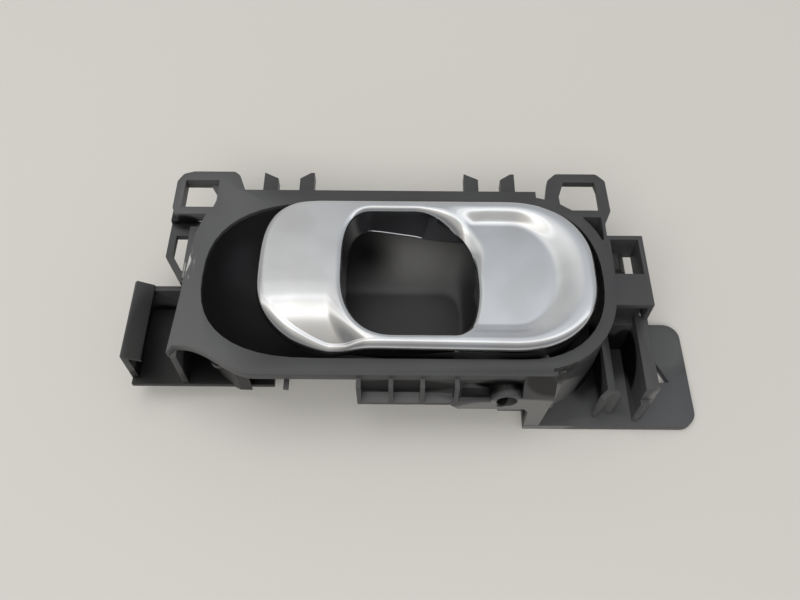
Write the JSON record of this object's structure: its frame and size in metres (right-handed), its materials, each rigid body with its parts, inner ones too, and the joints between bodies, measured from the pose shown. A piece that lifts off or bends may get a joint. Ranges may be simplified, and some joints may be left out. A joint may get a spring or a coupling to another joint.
{
  "type": "car interior door handle",
  "caption": "Pull lever with ring-shaped window and thumb dish, hinged in an oval finger bowl on a moulded clip-in bracket.",
  "frame": {"origin": "middle of the overall box in X and Y, on the surface that the handle lies on", "axes": "+X along the handle from the grip to the hinge, +Y up the door, +Z out of the door into the cabin"},
  "size_m": [0.171, 0.0778, 0.035],
  "materials": {
    "carrier_plastic": "fine-grained dark grey moulding",
    "bowl_plastic": "smooth black moulding, soft sheen",
    "satin_chrome": "satin chrome plating",
    "inner_plastic": "black resin",
    "steel": "zinc-plated steel",
    "stop_rubber": "soft black rubber"
  },
  "bodies": {
    "housing": {"carrier": "carrier_plastic", "finger_bowl": "bowl_plastic", "hinge_pin": "steel", "pin_clip": "steel", "bush_upper": "inner_plastic", "bush_lower": "inner_plastic", "return_spring": "steel", "closed_stop_upper": "stop_rubber", "closed_stop_lower": "stop_rubber", "open_stop": "stop_rubber", "bowl_screw_1": "steel", "bowl_screw_2": "steel", "bowl_screw_3": "steel"},
    "lever": {"lever_cover": "satin_chrome", "grip_back": "inner_plastic", "hinge_bracket": "inner_plastic", "lever_screw_1": "steel", "lever_screw_2": "steel", "lever_screw_3": "steel"}
  },
  "joints": [
    {"name": "lever_hinge", "type": "hinge", "parent": "housing", "child": "lever", "pos_m": [0.037, -0.0033, 0.024], "axis": [0, 1, 0], "range_deg": [0, 30], "stiffness_Nm_per_rad": 0.15, "springref_deg": -28.65, "deforming": ["return_spring"]}
  ]
}
